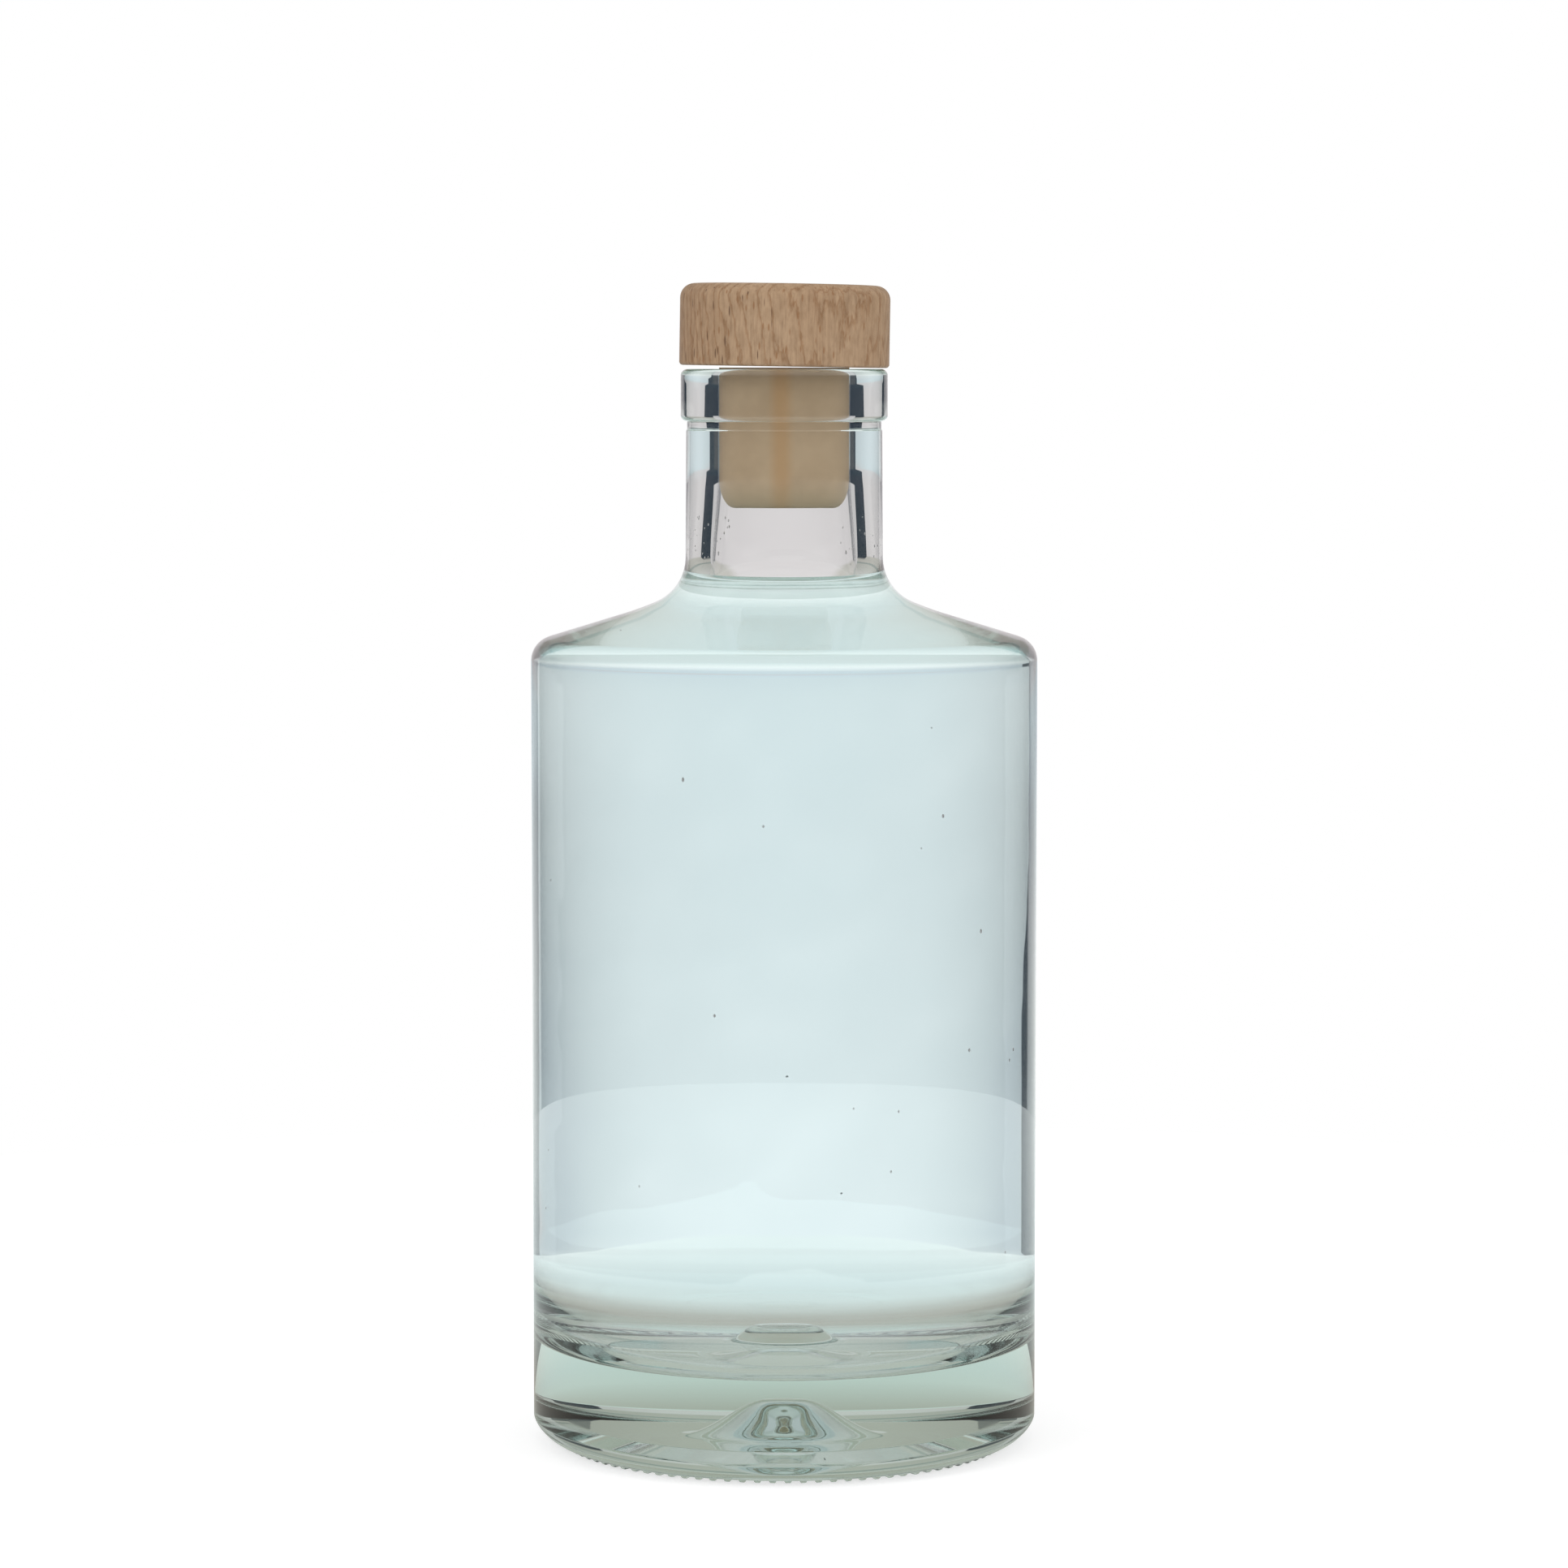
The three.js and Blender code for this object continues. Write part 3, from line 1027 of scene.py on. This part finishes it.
def growth_rings(tree, place):
    """Runs from 0 to 1 across each growth ring of a leaning trunk."""
    parts = tree.nodes.new("ShaderNodeSeparateXYZ")
    tree.links.new(place, parts.inputs[0])
    east = math_node(tree, "SUBTRACT", parts.outputs["X"], TRUNK[0])
    north = math_node(tree, "SUBTRACT", parts.outputs["Y"], TRUNK[1])
    squares = [math_node(tree, "MULTIPLY", side, side) for side in (east, north)]
    far = math_node(tree, "SQRT", math_node(tree, "ADD", *squares))
    lean = math_node(tree, "MULTIPLY", parts.outputs["Z"], RING_LEAN)
    far = math_node(tree, "ADD", far, lean)
    wobble = noise(tree, stretched(tree, place, *WOBBLE_GRAIN), 4, 0.65)
    wobble = math_node(tree, "MULTIPLY", wobble, RING_WOBBLE)
    far = math_node(tree, "ADD", far, wobble)
    return math_node(tree, "FRACT", math_node(tree, "DIVIDE", far, RING_WIDTH))


print("a growth ring every", round(RING_WIDTH / MM, 2), "mm")

# %% Colours of beech
# how often each pattern repeats in a metre, twice across the grain and then along it
BROAD_GRAIN = (90, 90, 14)
MOTTLE_GRAIN = (1100, 1100, 520)
FIBRE_GRAIN = (2800, 2800, 170)
ORANGE_GRAIN = (1250, 1250, 330)
RAY_GRAIN = (1500, 1500, 210)

WOOD_COLOURS = [
    (0.0, (0.330, 0.208, 0.122)),
    (0.32, (0.330, 0.208, 0.122)),
    (0.5, (0.370, 0.242, 0.143)),
    (0.70, (0.394, 0.266, 0.163)),
    (1.0, (0.394, 0.266, 0.163)),
]
RING_SHADES = [
    (0.0, (0.97, 0.95, 0.93)),
    (0.15, (1.03, 1.03, 1.03)),
    (0.70, (1.02, 1.01, 1.00)),
    (0.92, (0.74, 0.62, 0.50)),
    (1.0, (0.95, 0.92, 0.90)),
]
MOTTLE_SHADES = [
    (0.0, (0.78, 0.73, 0.67)),
    (0.38, (0.88, 0.85, 0.81)),
    (0.5, (1.00, 1.00, 1.00)),
    (0.62, (1.12, 1.13, 1.14)),
    (1.0, (1.20, 1.22, 1.24)),
]
FIBRE_SHADES = [
    (0.0, (0.62, 0.57, 0.52)),
    (0.35, (0.78, 0.75, 0.71)),
    (0.52, (1.00, 1.00, 1.00)),
    (0.72, (1.10, 1.10, 1.09)),
    (1.0, (1.14, 1.14, 1.12)),
]
print("shades of beech:", len(WOOD_COLOURS) + len(RING_SHADES) + len(MOTTLE_SHADES) + len(FIBRE_SHADES))

# %% Ground and dashes of beech
RING_SHARE = 0.85
MOTTLE_SHARE = 0.6
FIBRE_SHARE = 0.7
ORANGE_SHARE = 0.7
RAY_SHARE = 0.85
ORANGE_EDGE = (0.24, 0.10)
RAY_EDGE = (0.20, 0.09)
ORANGE_COLOUR = (0.26, 0.125, 0.050, 1)
RAY_COLOUR = (0.105, 0.050, 0.026, 1)

# the direction in which the rings are cut across, and how far along it the rays start, in metres
RAY_SIDE = (0.839, 0.545)
RAY_START = (0.0065, 0.0115)


def wood_ground(tree, place, fibre):
    """The wood's own colour, shaded by its rings, its mottle and its fibres."""
    broad = noise(tree, stretched(tree, place, *BROAD_GRAIN))
    mottle = noise(tree, stretched(tree, place, *MOTTLE_GRAIN), 2, 0.6)
    layers = (
        (RING_SHARE, growth_rings(tree, place), RING_SHADES),
        (MOTTLE_SHARE, mottle, MOTTLE_SHADES),
        (FIBRE_SHARE, fibre, FIBRE_SHADES),
    )
    colour = colour_ramp(tree, broad, WOOD_COLOURS)
    for share, value, shades in layers:
        colour = mix_colours(tree, share, colour, colour_ramp(tree, value, shades), "MULTIPLY")
    return colour


def with_dashes(tree, place, colour):
    """Adds orange dashes all over, and the dark rays where the rings are cut across."""
    orange = dashes(tree, stretched(tree, place, *ORANGE_GRAIN), *ORANGE_EDGE)
    orange = math_node(tree, "MULTIPLY", orange, ORANGE_SHARE)
    colour = mix_colours(tree, orange, colour, ORANGE_COLOUR)
    parts = tree.nodes.new("ShaderNodeSeparateXYZ")
    tree.links.new(place, parts.inputs[0])
    sides = [math_node(tree, "MULTIPLY", parts.outputs[i], RAY_SIDE[i]) for i in (0, 1)]
    sideways = math_node(tree, "ABSOLUTE", math_node(tree, "ADD", *sides))
    cut_across = smooth_step(tree, sideways, *RAY_START)
    rays = dashes(tree, stretched(tree, place, *RAY_GRAIN), *RAY_EDGE)
    rays = math_node(tree, "MULTIPLY", rays, math_node(tree, "MULTIPLY", cut_across, RAY_SHARE))
    return mix_colours(tree, rays, colour, RAY_COLOUR)


print("helpers: wood_ground, with_dashes")

# %% Beech
def beech_wood():
    material = new_material("beech")
    tree = material.node_tree
    place = tree.nodes.new("ShaderNodeTexCoord").outputs["Object"]
    fibre = noise(tree, stretched(tree, place, *FIBRE_GRAIN), 3, 0.7)
    colour = with_dashes(tree, place, wood_ground(tree, place, fibre))
    matt_surface(tree, colour, fibre, 0.35, Roughness=0.58, IOR=1.45)
    return material


beech = beech_wood()
print("material:", beech.name)

# %% [markdown]
# The head is a turned disc with a small rounding below and a larger one above, where the hand takes
# hold. A cylinder could be bevelled, but an outline gives each edge its own rounding in one step.
# The head sits a little askew, as the photograph shows, so it is tipped before it is lifted to the
# rim.

# %% Head
HEAD = 14.68
HEAD_HEIGHT = 11.4
HEAD_FOOT_ROUNDING = 0.5
HEAD_TOP_ROUNDING = 2
HEAD_TILT = math.radians(0.9)
HEAD_LIFT = 0.35
STOPPER_TURNS = 128


def build_head():
    foot = (HEAD, 0, HEAD_FOOT_ROUNDING)
    top = (HEAD, HEAD_HEIGHT, HEAD_TOP_ROUNDING)
    head = spun_piece("beech_head", rounded([(0, 0), foot, top, (0, HEAD_HEIGHT)]), STOPPER_TURNS)
    bpy.ops.object.mode_set(mode="EDIT")
    bpy.ops.mesh.select_all(action="SELECT")
    bpy.ops.transform.rotate(value=-HEAD_TILT, orient_axis="Y", center_override=(0, 0, 0))
    bpy.ops.transform.translate(value=(0, 0, (RIM + HEAD_LIFT) * MM))
    bpy.ops.object.mode_set(mode="OBJECT")
    head.data.materials.append(beech)
    finish_piece(head, "stopper", "stopper_head")
    return head


head = build_head()

# %% [markdown]
# The plug is a cream foamed plastic, moulded and a little cloudy. One even cream would look like
# paint, so a soft noise shades it. An orange streak runs down its front. Its foot gets a painted
# shade, darker and greener, for the thicker glass of the neck in front of it. Both are placed on the
# plug itself, so they stay where they are from every side.

# %% Foamed cork
CLOUD_SCALE = 260
CORK_COLOURS = [
    (0.0, (0.82, 0.60, 0.38)),
    (0.3, (0.82, 0.60, 0.38)),
    (0.7, (0.92, 0.69, 0.45)),
    (1.0, (0.92, 0.69, 0.45)),
]

# the streak's middle and soft edges across the plug, and where it starts towards the front
STREAK_MIDDLE = -0.0004
STREAK_EDGE = (0.0019, 0.0002)
STREAK_FRONT = (0.0, -0.004)
STREAK_SHARE = 0.5
STREAK_COLOUR = (0.86, 0.47, 0.17, 1)
# the painted shade at the plug's foot, for the thicker neck glass: its reach, strength and colour
FOOT_PAINTED_SHADE_REACH = 4.5
FOOT_PAINTED_SHADE_SHARE = 0.35
FOOT_PAINTED_SHADE_COLOUR = (0.48, 0.44, 0.24, 1)


def foamed_cork():
    material = new_material("foamed_cork")
    tree = material.node_tree
    place = tree.nodes.new("ShaderNodeTexCoord").outputs["Object"]
    parts = tree.nodes.new("ShaderNodeSeparateXYZ")
    tree.links.new(place, parts.inputs[0])
    cloud = noise(tree, place, 4, 0.6, scale=CLOUD_SCALE)
    colour = colour_ramp(tree, cloud, CORK_COLOURS)
    aside = math_node(tree, "SUBTRACT", parts.outputs["X"], STREAK_MIDDLE)
    streak = smooth_step(tree, math_node(tree, "ABSOLUTE", aside), *STREAK_EDGE)
    front = smooth_step(tree, parts.outputs["Y"], *STREAK_FRONT)
    front = math_node(tree, "MULTIPLY", front, STREAK_SHARE)
    streak = math_node(tree, "MULTIPLY", streak, front)
    colour = mix_colours(tree, streak, colour, STREAK_COLOUR)
    # painted shade: the foot is darkened and greened for the thicker glass in front of it
    foot = smooth_step(tree, parts.outputs["Z"], (PLUG_FOOT + FOOT_PAINTED_SHADE_REACH) * MM, PLUG_FOOT * MM)
    foot = math_node(tree, "MULTIPLY", foot, FOOT_PAINTED_SHADE_SHARE)
    colour = mix_colours(tree, foot, colour, FOOT_PAINTED_SHADE_COLOUR)
    matt_surface(tree, colour, cloud, 0.2, Roughness=0.6)
    return material


cork = foamed_cork()
print("material:", cork.name)

# %% [markdown]
# The plug is a plain cylinder with a soft nose that leads it into the neck. The nose could be a
# bevel, but it is drawn out longer than it is deep, so a quarter of an ellipse is written into the
# outline. The plug's top goes just under the head.

# %% Plug
NOSE_DEPTH = 2.2
NOSE_HEIGHT = 4
NOSE_STEPS = 10
PLUG_TOP = 0.2


def build_plug():
    angles = [math.pi / 2 * k / NOSE_STEPS for k in range(NOSE_STEPS + 1)]
    nose = [
        (PLUG - NOSE_DEPTH * (1 - math.sin(angle)), PLUG_FOOT + NOSE_HEIGHT * (1 - math.cos(angle)))
        for angle in angles
    ]
    top = RIM + PLUG_TOP
    outline = rounded([(0, PLUG_FOOT), *nose, (PLUG, top), (0, top)])
    plug = spun_piece("cork_plug", outline, STOPPER_TURNS)
    plug.data.materials.append(cork)
    finish_piece(plug, "stopper", "stopper_plug")
    return plug


plug = build_plug()

# %% [markdown]
# A ray that crosses the filled bottle meets a dozen surfaces. Fewer bends would render faster, but
# a ray that is given up half way leaves a dark patch, so it may bend more often than usual.

# %% Light paths
scene.cycles.max_bounces = 24
scene.cycles.transmission_bounces = 24
scene.cycles.glossy_bounces = 12
scene.cycles.transparent_max_bounces = 24
print("a ray may bend", scene.cycles.transmission_bounces, "times")
